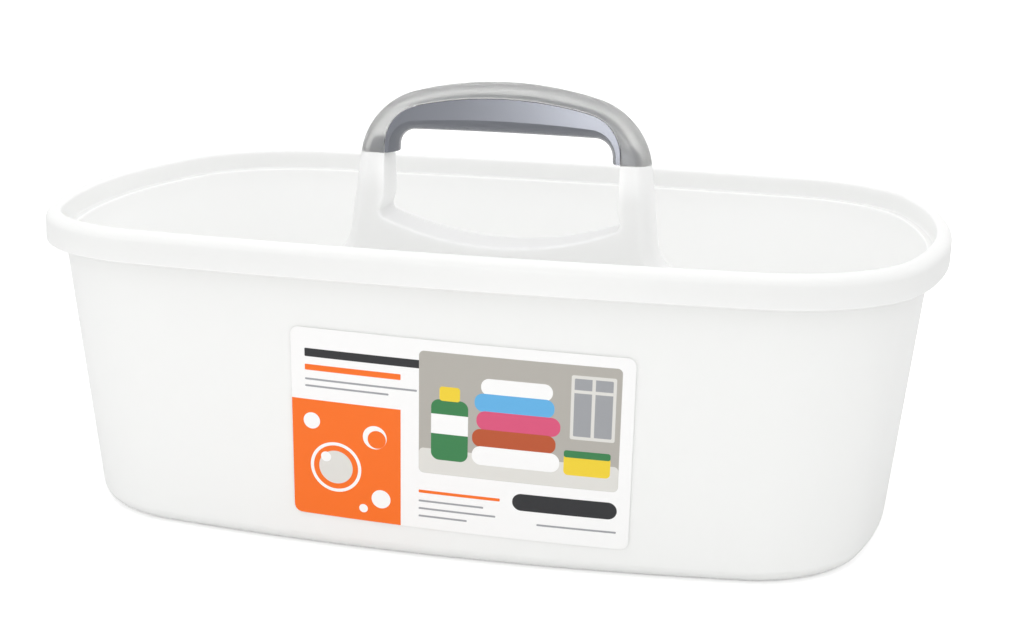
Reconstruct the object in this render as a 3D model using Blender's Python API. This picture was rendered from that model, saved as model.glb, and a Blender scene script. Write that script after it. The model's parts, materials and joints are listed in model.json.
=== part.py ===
"""Shower caddy: a translucent tub moulded in one piece with its rolled rim, hollow divider and
carry handle, a grey hand grip pressed into the handle from below, and a label on the front wall.

Metres, +Z up. The origin is the middle of the base, on the surface that the caddy stands on.
+X runs along the length and -Y faces the labelled front.
"""
import math

import bmesh
import bpy

# ---- Tub: rim, walls and base -------------------------------------------------------------
RIM_LENGTH = 0.470           # over the skirt, along X
RIM_WIDTH = 0.308            # over the skirt, along Y
TUB_HEIGHT = 0.1566          # base to the top of the rim
RIM_CORNER_RADIUS = 0.0815
RIM_SIDE_RADIUS = 1.77       # plan radius of the gently bowed long sides
RIM_END_RADIUS = 0.2985      # plan radius of the bowed ends
RIM_TOP_RADIUS = 0.0050      # rolled outer edge of the rim
RIM_INNER_RADIUS = 0.0020
SKIRT_DROP = 0.0160          # height of the skirt that hangs from the rim
SKIRT_OVERHANG = 0.0095      # from the wall's outer face to the skirt's
COLLAR_OVERHANG = 0.0055     # from the collar's outer face to the skirt's, above the shoulder
SHOULDER_DROP = 0.0115       # rim top to the shoulder inside the tub
SHOULDER_RADIUS = 0.0010
END_TAPER = 0.0134           # each end wall leans in by this from skirt to base
SIDE_TAPER = 0.0132          # each long wall leans in by this from skirt to base
BASE_CORNER_RADIUS = 0.0645
BASE_SIDE_RADIUS = 1.05
BASE_END_RADIUS = 0.250
BASE_EDGE_RADIUS = 0.0075
FLOOR_FILLET = 0.0060        # inside corner between floor and wall
WALL = 0.0022
FLOOR = 0.0024
FOOT_WIDTH = 0.0060          # flat ring that the caddy stands on
FOOT_HEIGHT = 0.0008         # rise of the base inside that ring

# ---- Divider and handle, one hollow form that rises from the floor --------------------------
SEAT_Z = 0.1802              # top of the legs' inner walls, where the grip's ends sit
HANDLE_CROWN = 0.2200        # top of the handle
HANDLE_CROWN_RADIUS = 0.188
HANDLE_SHOULDER_RADIUS = 0.0410
HANDLE_HALF_SPAN = 0.0796    # middle to the outer side of a leg, at the seat
LEG_DRAFT = 0.118            # outward lean of the legs' outer sides, per unit of height
HANDLE_HALF_DEPTH = 0.0110   # half the handle's thickness along Y, from the seat up
FACE_DRAFT = 0.100           # outward lean of the legs' front and back faces below the seat
DIVIDER_FACE_DRAFT = 0.050   # the same for the divider's faces
OUTER_DOME = 0.0073          # depth of the rounding along every outer edge
DIVIDER_TOP = 0.1215         # height of the divider where it meets the legs' flare
DIVIDER_FALL = 0.010         # fall of its top edge towards the ends, per unit of length
DIVIDER_END_GAP = 0.0161     # end wall's foot to the end of the hollow divider
DIVIDER_END_DRAFT = 0.090
DIVIDER_END_RADIUS = 0.012
FLARE_RADIUS = 0.018         # sweep from leg to divider
WEB_THICKNESS = 0.0024       # thin web from the hollow divider to each end wall
WEB_STEP = 0.0080            # the web's top edge lies this far below the divider's

# ---- Finger opening ------------------------------------------------------------------------
LIP_CROWN = 0.2121           # top of the opening in the moulding, before the grip fills it
LIP_CROWN_RADIUS = 0.200
LIP_CORNER_RADIUS = 0.0228
LIP_HALF_SPAN = 0.0645       # at the seat
OPENING_DRAFT = 0.040
SADDLE_BOTTOM = 0.1335
SADDLE_RADIUS = 0.173
SADDLE_CORNER_RADIUS = 0.005
LIP_EDGE_RADIUS = 0.0008     # around the shell's lip
LEG_EDGE_RADIUS = 0.0016     # around the legs' inner faces and the saddle
CHANNEL_DOME = 0.0044        # rounding of the channel's roof

# ---- Hand grip -----------------------------------------------------------------------------
FIT_GAP = 0.0003             # clearance between separate pieces
GRIP_RECESS = 0.0002         # the grip's faces lie this far inside the shell's
CREASE_CROWN = 0.2003        # edge between the grip's faces and its rounded underside
CREASE_CROWN_RADIUS = 0.600
CREASE_CORNER_RADIUS = 0.0148
CREASE_HALF_SPAN = 0.0620
UNDERSIDE_CROWN = 0.1931
UNDERSIDE_CROWN_RADIUS = 3.0
UNDERSIDE_CORNER_RADIUS = 0.0095
UNDERSIDE_HALF_SPAN = 0.0588

# ---- Label ---------------------------------------------------------------------------------
LABEL_WIDTH = 0.166
LABEL_HEIGHT = 0.097
LABEL_CENTRE_X = 0.0112
LABEL_CENTRE_Z = 0.0652
LABEL_TILT = math.radians(1.1)   # it was stuck on slightly askew, its right end low
LABEL_CORNER_RADIUS = 0.004
LABEL_THICKNESS = 0.00025

# ---- Facets --------------------------------------------------------------------------------
SIDE_STEPS = 6               # along half of a long side
CORNER_STEPS = 10
END_STEPS = 4                # along half of an end
ROUND_STEPS = 3              # across a small rounding of the rim
DOME_STEPS = 6               # across half of the handle's rounded outer edge
SHOULDER_STEPS = 9           # along a shoulder of the handle
CROWN_STEPS = 5              # along half of the handle's crown

SKIRT_EDGE_Z = TUB_HEIGHT - SKIRT_DROP
CUTTER_REACH = 0.05          # how far a cutter runs past the faces it cuts


# ---- Outlines ------------------------------------------------------------------------------
def arc(centre, radius, start, end, steps):
    """Points along an arc in a plane, both ends included; angles in radians."""
    angles = [start + (end - start) * i / steps for i in range(steps + 1)]
    return [(centre[0] + radius * math.cos(a), centre[1] + radius * math.sin(a)) for a in angles]


def bowed_outline(half_length, half_width, corner, side_radius, end_radius, inset):
    """Closed plan outline whose four sides are shallow arcs, joined by tangent corner arcs."""
    side_centre_y = half_width - side_radius
    end_centre_x = half_length - end_radius
    side_reach = side_radius - corner
    end_reach = end_radius - corner
    # the corner's centre lies at side_reach from one centre and end_reach from the other
    span = math.hypot(end_centre_x, side_centre_y)
    along = (side_reach ** 2 - end_reach ** 2 + span ** 2) / (2 * span)
    across = math.sqrt(side_reach ** 2 - along ** 2)
    ux, uy = end_centre_x / span, -side_centre_y / span
    corner_x = ux * along + uy * across
    corner_y = side_centre_y + uy * along - ux * across
    side_angle = math.atan2(corner_y - side_centre_y, corner_x)
    end_angle = math.atan2(corner_y, corner_x - end_centre_x)
    end_arc = arc((end_centre_x, 0), end_radius - inset, 0, end_angle, END_STEPS)
    corner_arc = arc((corner_x, corner_y), corner - inset, end_angle, side_angle, CORNER_STEPS)
    side_arc = arc((0, side_centre_y), side_radius - inset, side_angle, math.pi / 2, SIDE_STEPS)
    quarter = end_arc + corner_arc[1:] + side_arc[1:]
    left = [(-x, y) for x, y in reversed(quarter[:-1])]
    top = quarter + left
    bottom = [(x, -y) for x, y in reversed(top[1:-1])]
    return top + bottom


def rim_outline(inset):
    return bowed_outline(RIM_LENGTH / 2, RIM_WIDTH / 2, RIM_CORNER_RADIUS, RIM_SIDE_RADIUS,
                         RIM_END_RADIUS, inset)


def base_outline(inset):
    half_length = RIM_LENGTH / 2 - SKIRT_OVERHANG - END_TAPER
    half_width = RIM_WIDTH / 2 - SKIRT_OVERHANG - SIDE_TAPER
    return bowed_outline(half_length, half_width, BASE_CORNER_RADIUS, BASE_SIDE_RADIUS,
                         BASE_END_RADIUS, inset)


def rim_ring(inset, z):
    return [(x, y, z) for x, y in rim_outline(inset)]


def wall_ring(inset, z):
    """Outline of the tapering wall at height z, moved inwards by inset."""
    share = z / SKIRT_EDGE_Z
    pairs = zip(base_outline(inset), rim_outline(SKIRT_OVERHANG + inset))
    return [(p[0] + (q[0] - p[0]) * share, p[1] + (q[1] - p[1]) * share, z) for p, q in pairs]


def end_wall_x(z):
    """X of the end wall's outer face on the middle plane."""
    return RIM_LENGTH / 2 - SKIRT_OVERHANG - END_TAPER * (1 - z / SKIRT_EDGE_Z)


def corner_turn(before, corner, after, radius, inset, steps):
    """Rounds one corner of an XZ path that is walked with the material on its left.

    The two lines move into the material by inset, so a convex corner's radius shrinks by it and
    a concave corner's radius grows by it.
    """
    def direction(p, q):
        length = math.hypot(q[0] - p[0], q[1] - p[1])
        return ((q[0] - p[0]) / length, (q[1] - p[1]) / length)

    d1, d2 = direction(before, corner), direction(corner, after)
    n1, n2 = (-d1[1], d1[0]), (-d2[1], d2[0])
    turn = d1[0] * d2[1] - d1[1] * d2[0]
    convex = turn > 0
    side = 1 if convex else -1
    reach = inset + side * (radius - side * inset)
    # the arc's centre lies at the same reach from both lines
    bend = 1 + n1[0] * n2[0] + n1[1] * n2[1]
    centre = (corner[0] + (n1[0] + n2[0]) * reach / bend, corner[1] + (n1[1] + n2[1]) * reach / bend)
    start = math.atan2(-side * n1[1], -side * n1[0])
    end = math.atan2(-side * n2[1], -side * n2[0])
    while convex and end < start:
        end += 2 * math.pi
    while not convex and end > start:
        end -= 2 * math.pi
    return arc(centre, radius - side * inset, start, end, steps)


def arch_half(half_span, draft, crown, crown_radius, corner_radius, start_z, inset=0.0, up=1):
    """Right half of an arch in the XZ plane, from its leg at start_z to its crown at x = 0.

    half_span is measured at the seat. With up = -1 the arch hangs below its legs.
    """
    lean = draft * up
    slope = math.hypot(1, lean)
    span = half_span - inset * slope
    crown_r, corner_r = crown_radius - inset, corner_radius - inset
    low = crown * up - inset - crown_r
    # the corner arc touches the leg's line from inside and the crown arc from inside
    base = span + lean * SEAT_Z * up - corner_r * slope
    a, b = slope ** 2, base * lean + low
    c = base ** 2 + low ** 2 - (crown_r - corner_r) ** 2
    centre_z = (b + math.sqrt(b * b - a * c)) / a
    centre_x = base - lean * centre_z
    leg_angle = math.atan(lean)
    crown_angle = math.atan2(centre_z - low, centre_x)
    rise = start_z * up - centre_z
    if rise < corner_r * math.sin(leg_angle):
        start = (span + lean * (SEAT_Z * up - start_z * up), start_z * up)
        turn_from = leg_angle
    else:
        start_angle = math.asin(rise / corner_r)
        start = (centre_x + corner_r * math.cos(start_angle), start_z * up)
        turn_from = start_angle + (crown_angle - start_angle) / (SHOULDER_STEPS + 1)
    corner = arc((centre_x, centre_z), corner_r, turn_from, crown_angle, SHOULDER_STEPS)
    crown_arc = arc((0, low), crown_r, crown_angle, math.pi / 2, CROWN_STEPS)
    half = [start] + corner + crown_arc[1:-1] + [(0.0, low + crown_r)]
    return [(x, z * up) for x, z in half]


def handle_arch(start_z, inset):
    return arch_half(HANDLE_HALF_SPAN, LEG_DRAFT, HANDLE_CROWN, HANDLE_CROWN_RADIUS,
                     HANDLE_SHOULDER_RADIUS, start_z, inset)


def lip_arch(start_z, inset=0.0):
    return arch_half(LIP_HALF_SPAN, OPENING_DRAFT, LIP_CROWN, LIP_CROWN_RADIUS,
                     LIP_CORNER_RADIUS, start_z, inset)


def crease_arch(start_z):
    return arch_half(CREASE_HALF_SPAN, OPENING_DRAFT, CREASE_CROWN, CREASE_CROWN_RADIUS,
                     CREASE_CORNER_RADIUS, start_z)


def underside_arch(start_z):
    return arch_half(UNDERSIDE_HALF_SPAN, OPENING_DRAFT, UNDERSIDE_CROWN,
                     UNDERSIDE_CROWN_RADIUS, UNDERSIDE_CORNER_RADIUS, start_z)


def saddle_arch(start_z, inset=0.0):
    return arch_half(LIP_HALF_SPAN, OPENING_DRAFT, SADDLE_BOTTOM, SADDLE_RADIUS,
                     SADDLE_CORNER_RADIUS, start_z, inset, up=-1)


def divider_end_x(z):
    """X of the hollow divider's end at height z."""
    return end_wall_x(0) - DIVIDER_END_GAP - DIVIDER_END_DRAFT * z


def half_depth(z):
    """Half the depth of the divider and handle along Y at height z."""
    leg = FACE_DRAFT * max(SEAT_Z - max(z, DIVIDER_TOP), 0.0)
    return HANDLE_HALF_DEPTH + leg + DIVIDER_FACE_DRAFT * max(DIVIDER_TOP - z, 0.0)


def centre_outline(bottom_z, inset):
    """Right half of the front view of divider, leg and handle, from the base up to the crown."""
    slope = math.hypot(1, LEG_DRAFT)
    leg_x = HANDLE_HALF_SPAN + LEG_DRAFT * (SEAT_Z - DIVIDER_TOP)
    flare_corner = (leg_x, DIVIDER_TOP)
    end_x = divider_end_x(DIVIDER_TOP)
    end_corner = (end_x, DIVIDER_TOP - DIVIDER_FALL * (end_x - leg_x))
    foot = (divider_end_x(bottom_z), bottom_z)
    leg_top = (HANDLE_HALF_SPAN, SEAT_Z)
    start = (foot[0] - inset * math.hypot(1, DIVIDER_END_DRAFT), bottom_z)
    end_turn = corner_turn(foot, end_corner, flare_corner, DIVIDER_END_RADIUS, inset, 5)
    flare = corner_turn(end_corner, flare_corner, leg_top, FLARE_RADIUS, inset, 6)
    leg_z = SEAT_Z - (SEAT_Z - DIVIDER_TOP) / 3
    leg = (HANDLE_HALF_SPAN + LEG_DRAFT * (SEAT_Z - leg_z) - inset * slope, leg_z)
    arch = handle_arch(SEAT_Z, inset)
    return [start] + end_turn + flare + [leg] + arch


# ---- Solids --------------------------------------------------------------------------------
def new_object(name, build, collection, material=None):
    """Makes a mesh object from a function that fills a bmesh."""
    bm = bmesh.new()
    build(bm)
    bmesh.ops.recalc_face_normals(bm, faces=bm.faces)
    mesh = bpy.data.meshes.new(name)
    bm.to_mesh(mesh)
    bm.free()
    obj = bpy.data.objects.new(name, mesh)
    collection.objects.link(obj)
    if material:
        mesh.materials.append(material)
    else:
        obj.hide_render = True
        obj.display_type = 'WIRE'
    return obj


def upright_plate(name, outline, thickness, collection):
    """Plate that stands in the XZ plane: a filled 2D curve with depth, made into a closed mesh."""
    curve = bpy.data.curves.new(name, 'CURVE')
    curve.dimensions = '2D'
    curve.fill_mode = 'BOTH'
    curve.extrude = thickness / 2
    spline = curve.splines.new('POLY')
    spline.points.add(len(outline) - 1)
    for point, (x, z) in zip(spline.points, outline):
        point.co = (x, z, 0.0, 1.0)
    spline.use_cyclic_u = True
    flat = bpy.data.objects.new(name + "_curve", curve)
    flat.rotation_euler = (math.pi / 2, 0.0, 0.0)
    collection.objects.link(flat)
    bpy.context.view_layer.update()
    evaluated = flat.evaluated_get(bpy.context.evaluated_depsgraph_get())
    mesh = bpy.data.meshes.new_from_object(evaluated)
    bm = bmesh.new()
    bm.from_mesh(mesh)
    bmesh.ops.remove_doubles(bm, verts=bm.verts, dist=1e-6)
    bmesh.ops.recalc_face_normals(bm, faces=bm.faces)
    bm.to_mesh(mesh)
    bm.free()
    plate = bpy.data.objects.new(name, mesh)
    plate.matrix_world = flat.matrix_world.copy()
    plate.hide_render = True
    plate.display_type = 'WIRE'
    collection.objects.link(plate)
    bpy.data.objects.remove(flat, do_unlink=True)
    return plate


def loft(bm, rings):
    """Joins closed rings of equal length by quads and returns their vertices."""
    rows = [[bm.verts.new(point) for point in ring] for ring in rings]
    count = len(rows[0])
    for low, high in zip(rows, rows[1:]):
        for i in range(count):
            j = (i + 1) % count
            bm.faces.new((low[i], low[j], high[j], high[i]))
    return rows


def capped_loft(bm, rings):
    rows = loft(bm, rings)
    bm.faces.new(reversed(rows[0]))
    bm.faces.new(rows[-1])


def tub_rings():
    """Cross-sections of the tub's wall, from the base up the outside and down the inside."""
    rings = []
    # the foot ring and the rounded edge of the base
    rings.append(wall_ring(BASE_EDGE_RADIUS + FOOT_WIDTH, FOOT_HEIGHT))
    rings.append(wall_ring(BASE_EDGE_RADIUS + FOOT_WIDTH - FOOT_HEIGHT, 0))
    for x, z in arc((BASE_EDGE_RADIUS, BASE_EDGE_RADIUS), BASE_EDGE_RADIUS,
                    math.radians(270), math.radians(180), 4):
        rings.append(wall_ring(x, z))
    # up the wall, out under the shoulder and over to the skirt
    collar_z = TUB_HEIGHT - SHOULDER_DROP
    rings.append(rim_ring(SKIRT_OVERHANG, SKIRT_EDGE_Z))
    rings.append(rim_ring(SKIRT_OVERHANG, collar_z - WALL))
    rings.append(rim_ring(COLLAR_OVERHANG, collar_z))
    roof_z = TUB_HEIGHT - WALL
    rings.append(rim_ring(COLLAR_OVERHANG, roof_z - SHOULDER_RADIUS))
    rings.append(rim_ring(COLLAR_OVERHANG - SHOULDER_RADIUS / 2, roof_z))
    inner_roll = RIM_TOP_RADIUS - WALL
    rings.append(rim_ring(RIM_TOP_RADIUS - SHOULDER_RADIUS, roof_z))
    for x, z in arc((RIM_TOP_RADIUS, TUB_HEIGHT - RIM_TOP_RADIUS), inner_roll,
                    math.radians(120), math.radians(180), ROUND_STEPS - 1):
        rings.append(rim_ring(x, z))
    # round the skirt's lower edge and up its outer face
    rings.append(rim_ring(WALL, SKIRT_EDGE_Z + SHOULDER_RADIUS / 2))
    rings.append(rim_ring(WALL * 0.75, SKIRT_EDGE_Z))
    rings.append(rim_ring(WALL * 0.25, SKIRT_EDGE_Z))
    rings.append(rim_ring(0, SKIRT_EDGE_Z + SHOULDER_RADIUS / 2))
    for x, z in arc((RIM_TOP_RADIUS, TUB_HEIGHT - RIM_TOP_RADIUS), RIM_TOP_RADIUS,
                    math.radians(180), math.radians(90), ROUND_STEPS + 1):
        rings.append(rim_ring(x, z))
    # over the rim's inner edge, down the collar and in over the shoulder
    collar_inner = COLLAR_OVERHANG + WALL
    wall_inner = SKIRT_OVERHANG + WALL
    for x, z in arc((collar_inner - RIM_INNER_RADIUS, TUB_HEIGHT - RIM_INNER_RADIUS),
                    RIM_INNER_RADIUS, math.radians(90), 0, ROUND_STEPS):
        rings.append(rim_ring(x, z))
    rings.append(rim_ring(collar_inner, collar_z + SHOULDER_RADIUS))
    rings.append(rim_ring(collar_inner + SHOULDER_RADIUS, collar_z))
    rings.append(rim_ring(wall_inner - SHOULDER_RADIUS, collar_z))
    rings.append(rim_ring(wall_inner, collar_z - SHOULDER_RADIUS))
    rings.append(rim_ring(wall_inner, SKIRT_EDGE_Z))
    # down the inside of the wall and round onto the floor
    floor_z = FOOT_HEIGHT + FLOOR
    for x, z in arc((WALL + FLOOR_FILLET, floor_z + FLOOR_FILLET), FLOOR_FILLET,
                    math.radians(180), math.radians(270), 4):
        rings.append(wall_ring(x, z))
    return rings


def build_tub(bm):
    capped_loft(bm, tub_rings())


def centre_rings(bottom_z, wall, dome):
    """Front outlines of the divider and handle, from the front face over the dome to the back.

    wall moves every surface inwards, and dome is the depth of the rounded outer edge.
    """
    rings = []
    for step in range(2 * DOME_STEPS + 1):
        angle = math.pi * step / (2 * DOME_STEPS)
        inset = wall + dome * (1 - math.sin(angle))
        share = -math.cos(angle) if step != DOME_STEPS else 0.0
        right = centre_outline(bottom_z, inset)
        outline = right + [(-x, z) for x, z in reversed(right[:-1])]
        rings.append([(x, share * (half_depth(z) - wall), z) for x, z in outline])
    return rings


def build_centre(bm, bottom_z, wall, dome):
    """Solid form of divider, legs and handle. Its front and back faces are strips of quads."""
    rows = loft(bm, centre_rings(bottom_z, wall, dome))
    for row in (rows[0], rows[-1]):
        count = len(row)
        for i in range(count // 2):
            strip = [row[i], row[i + 1], row[count - 2 - i], row[count - 1 - i]]
            face = strip if strip[1] is not strip[2] else [strip[0], strip[1], strip[3]]
            bm.faces.new(face)


def opening_edge_radius(z):
    """Rounding of the opening's edges: small on the shell's lip, larger on legs and saddle."""
    share = min(max((SEAT_Z - z) / LIP_CORNER_RADIUS, 0.0), 1.0)
    return LIP_EDGE_RADIUS + (LEG_EDGE_RADIUS - LIP_EDGE_RADIUS) * share


def opening_outline(inset_at):
    """Closed outline of the finger opening; inset_at gives the growth (negative) at a height."""
    def grown(arch, start_z):
        plain = arch(start_z, 0.0)
        wide = arch(start_z, -LEG_EDGE_RADIUS)
        points = []
        for (x, z), (wx, wz) in zip(plain, wide):
            share = inset_at(z) / LEG_EDGE_RADIUS
            points.append((x + (wx - x) * share, z + (wz - z) * share))
        return points

    middle_z = (SEAT_Z + SADDLE_BOTTOM) / 2
    upper = grown(lip_arch, middle_z)
    lower = grown(saddle_arch, middle_z)
    right = list(reversed(lower)) + upper[1:]
    return right + [(-x, z) for x, z in reversed(right[1:-1])]


def build_opening(bm):
    """Cutter of the finger opening, flared at both faces so that its edges come out rounded."""
    steps = 3
    rings = [[(x, -CUTTER_REACH, z) for x, z in opening_outline(opening_edge_radius)]]
    for step in range(steps + 1):
        angle = math.pi / 2 * step / steps
        growth = 1 - math.sin(angle)
        depth = 1 - math.cos(angle)
        outline = opening_outline(lambda z: opening_edge_radius(z) * growth)
        rings.append([(x, -half_depth(z) + opening_edge_radius(z) * depth, z)
                      for x, z in outline])
    rings += [[(x, -y, z) for x, y, z in ring] for ring in reversed(rings)]
    capped_loft(bm, rings)


def leg_walls_outline():
    """Front view of the block that keeps the legs' inner walls and the saddle's floor."""
    right = list(reversed(saddle_arch(SEAT_Z, -WALL)))
    return right + [(-x, z) for x, z in reversed(right[1:])]


def web_outline(side):
    """Front view of the web between the hollow divider's end and the end wall."""
    bottom_z = FOOT_HEIGHT + FLOOR / 2
    edge_z = bottom_z + BASE_EDGE_RADIUS
    top_z = DIVIDER_TOP - WEB_STEP
    right = [(divider_end_x(bottom_z) - WALL / 2, bottom_z),
             (end_wall_x(bottom_z) - BASE_EDGE_RADIUS, bottom_z),
             (end_wall_x(edge_z) - WALL / 2, edge_z),
             (end_wall_x(top_z) - WALL / 2, top_z),
             (divider_end_x(top_z) - WALL / 2, top_z)]
    return [(side * x, z) for x, z in right]


def grip_rails():
    """Arches that run along the grip, one for each corner of its cross-section.

    They start at the top of the core, go down the front face and end under the middle.
    """
    start_z = SEAT_Z + FIT_GAP
    core = HANDLE_HALF_DEPTH - WALL - FIT_GAP
    face = HANDLE_HALF_DEPTH - GRIP_RECESS
    rails = []
    roof_steps = 4
    for step in range(roof_steps + 1):
        angle = math.pi / 2 * (1 - step / roof_steps)
        inset = WALL + FIT_GAP + CHANNEL_DOME * (1 - math.sin(angle))
        depth = core * math.cos(angle) if step else 0.0
        rails.append((handle_arch(start_z, inset), depth))
    shelf = lip_arch(start_z, FIT_GAP)
    rails.append((shelf, core))
    rails.append((shelf, face))
    crease, underside = crease_arch(start_z), underside_arch(start_z)
    rails.append((crease, face))
    under_steps = 4
    for step in range(1, under_steps + 1):
        u = 1 - step / under_steps
        blend = [(p[0] + (q[0] - p[0]) * u * u, p[1] + (q[1] - p[1]) * u * u)
                 for p, q in zip(underside, crease)]
        rails.append((blend, face * u))
    return rails


def build_grip(bm):
    """Grip: a core that fills the handle's channel and a pad that fills the hand."""
    rails = grip_rails()
    sections = rails + [(rail, -depth) for rail, depth in reversed(rails[1:-1])]
    half = len(rails[0][0])
    rings = []
    for i in range(2 * half - 1):
        j = i if i < half else 2 * half - 2 - i
        side = 1 if i < half else -1
        rings.append([(side * rail[j][0], -depth, rail[j][1]) for rail, depth in sections])
    capped_loft(bm, rings)


def front_wall_y(x, z):
    """Y of the front wall's outer face at a given place."""
    ring = [(px, py) for px, py, _ in wall_ring(0.0, z) if py < 0]
    ring.sort()
    for (x0, y0), (x1, y1) in zip(ring, ring[1:]):
        if x0 <= x <= x1:
            return y0 + (y1 - y0) * (x - x0) / (x1 - x0)
    return -RIM_WIDTH / 2


def build_label(bm):
    """Label: a thin sheet with rounded corners that follows the wall's bow and taper."""
    half_width, half_height = LABEL_WIDTH / 2, LABEL_HEIGHT / 2
    r = LABEL_CORNER_RADIUS
    columns = arc((half_width - r, 0), r, 0, math.pi / 2, 3)
    edge = [(x, half_height - r + z) for x, z in columns]
    steps = 6
    inner = [((half_width - r) * (1 - 2 * i / steps), half_height) for i in range(1, steps)]
    top = edge + inner + [(-x, z) for x, z in reversed(edge)]
    rows = []
    for offset in (-FIT_GAP, -FIT_GAP - LABEL_THICKNESS):
        for sign in (1, -1):
            row = []
            for x, z in top:
                along, up = x, sign * z
                wx = LABEL_CENTRE_X + along * math.cos(LABEL_TILT) + up * math.sin(LABEL_TILT)
                wz = LABEL_CENTRE_Z - along * math.sin(LABEL_TILT) + up * math.cos(LABEL_TILT)
                row.append(bm.verts.new((wx, front_wall_y(wx, wz) + offset, wz)))
            rows.append(row)
    under_top, under_low, over_top, over_low = rows
    for i in range(len(top) - 1):
        bm.faces.new((under_top[i], under_top[i + 1], under_low[i + 1], under_low[i]))
        bm.faces.new((over_top[i], over_top[i + 1], over_low[i + 1], over_low[i]))
        bm.faces.new((under_top[i], under_top[i + 1], over_top[i + 1], over_top[i]))
        bm.faces.new((under_low[i], under_low[i + 1], over_low[i + 1], over_low[i]))
    for i in (0, len(top) - 1):
        bm.faces.new((under_top[i], over_top[i], over_low[i], under_low[i]))


# ---- Scene ---------------------------------------------------------------------------------
def plastic(name, colour, roughness):
    material = bpy.data.materials.new(name)
    material.use_nodes = True
    shader = material.node_tree.nodes["Principled BSDF"]
    shader.inputs["Base Color"].default_value = (*colour, 1.0)
    shader.inputs["Roughness"].default_value = roughness
    shader.inputs["Metallic"].default_value = 0.0
    material.diffuse_color = (*colour, 1.0)
    return material


def boolean(obj, cutter, operation):
    modifier = obj.modifiers.new(f"{operation.lower()} {cutter.name}", 'BOOLEAN')
    modifier.object = cutter
    modifier.operation = operation
    modifier.solver = 'EXACT'


def shade(obj, degrees):
    obj.data.shade_smooth()
    obj.data.set_sharp_from_angle(angle=math.radians(degrees))


for old in list(bpy.data.objects):
    bpy.data.objects.remove(old, do_unlink=True)

caddy = bpy.data.collections.new("shower_caddy")
cutters = bpy.data.collections.new("cutters")
bpy.context.scene.collection.children.link(caddy)
bpy.context.scene.collection.children.link(cutters)

frosted = plastic("frosted_polypropylene", (0.86, 0.87, 0.86), 0.35)
grey = plastic("grey_grip", (0.30, 0.31, 0.35), 0.45)
paper = plastic("label_paper", (0.92, 0.92, 0.92), 0.40)

# The tub: a lofted cup, joined with the divider and handle, then hollowed from beneath.
tub = new_object("tub", build_tub, caddy, frosted)
floor_middle = FOOT_HEIGHT + FLOOR / 2
centre = new_object("centre_form", lambda bm: build_centre(bm, floor_middle, 0.0, OUTER_DOME),
                    cutters)
web_right = upright_plate("web_right", web_outline(1), WEB_THICKNESS, cutters)
web_left = upright_plate("web_left", web_outline(-1), WEB_THICKNESS, cutters)
hollow = new_object("hollow", lambda bm: build_centre(bm, -FLOOR, WALL, CHANNEL_DOME), cutters)
leg_walls = upright_plate("leg_walls", leg_walls_outline(), 2 * CUTTER_REACH, cutters)
opening = new_object("finger_opening", build_opening, cutters)
boolean(hollow, leg_walls, 'DIFFERENCE')
boolean(tub, centre, 'UNION')
boolean(tub, web_right, 'UNION')
boolean(tub, web_left, 'UNION')
boolean(tub, hollow, 'DIFFERENCE')
boolean(tub, opening, 'DIFFERENCE')
shade(tub, 30)

grip = new_object("grip", build_grip, caddy, grey)
shade(grip, 30)

label = new_object("label", build_label, caddy, paper)
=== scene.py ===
import json
import math

import bmesh
import bpy
from mathutils import Matrix, Vector

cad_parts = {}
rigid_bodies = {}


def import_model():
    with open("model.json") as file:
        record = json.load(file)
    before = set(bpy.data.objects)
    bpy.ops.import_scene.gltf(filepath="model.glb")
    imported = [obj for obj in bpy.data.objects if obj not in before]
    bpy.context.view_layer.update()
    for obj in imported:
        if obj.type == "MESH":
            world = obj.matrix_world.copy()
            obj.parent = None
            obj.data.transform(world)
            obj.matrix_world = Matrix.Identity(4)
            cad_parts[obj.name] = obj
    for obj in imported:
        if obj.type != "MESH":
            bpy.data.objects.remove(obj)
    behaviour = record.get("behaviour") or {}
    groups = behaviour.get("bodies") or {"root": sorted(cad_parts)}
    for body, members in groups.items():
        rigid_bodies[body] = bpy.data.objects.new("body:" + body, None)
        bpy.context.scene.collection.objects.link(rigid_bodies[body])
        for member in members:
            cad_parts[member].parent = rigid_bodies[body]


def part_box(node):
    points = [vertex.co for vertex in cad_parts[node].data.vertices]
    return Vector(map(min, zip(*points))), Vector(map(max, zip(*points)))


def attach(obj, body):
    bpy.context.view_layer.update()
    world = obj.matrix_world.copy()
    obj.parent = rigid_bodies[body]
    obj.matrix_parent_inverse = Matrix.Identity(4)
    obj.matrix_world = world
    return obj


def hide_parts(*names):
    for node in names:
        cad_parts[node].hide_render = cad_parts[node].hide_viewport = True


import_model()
for spare in [o for o in bpy.data.objects if o.name in ("Cube", "Light", "Camera")]:
    bpy.data.objects.remove(spare)
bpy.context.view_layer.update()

# Shower caddy for bottles and soap. Metres, +Z up; the origin is the middle of the base, +X runs
# along the length and -Y faces the labelled front.


# ---- Tub -----------------------------------------------------------------------------------
# One injection moulding in natural translucent polypropylene: rolled rim with a skirt, tapered
# walls, floor, hollow divider and the shell of the carry handle. The cup is a wall profile run
# round two plan outlines; the divider is joined to it, hollowed from beneath and then opened.
tub_low, tub_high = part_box("tub")
RIM_LENGTH = tub_high.x - tub_low.x
RIM_WIDTH = tub_high.y - tub_low.y
HANDLE_CROWN = tub_high.z
TUB_HEIGHT = 0.1566
RIM_CORNER_RADIUS = 0.0815
RIM_SIDE_RADIUS = 1.77
RIM_END_RADIUS = 0.2985
RIM_TOP_RADIUS = 0.0050
RIM_INNER_RADIUS = 0.0020
SKIRT_EDGE_Z = TUB_HEIGHT - 0.0160
SKIRT_OVERHANG = 0.0095      # from the wall's outer face to the skirt's
COLLAR_OVERHANG = 0.0055     # the same for the collar above the shoulder
COLLAR_Z = TUB_HEIGHT - 0.0115
SHOULDER_RADIUS = 0.0010
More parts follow.
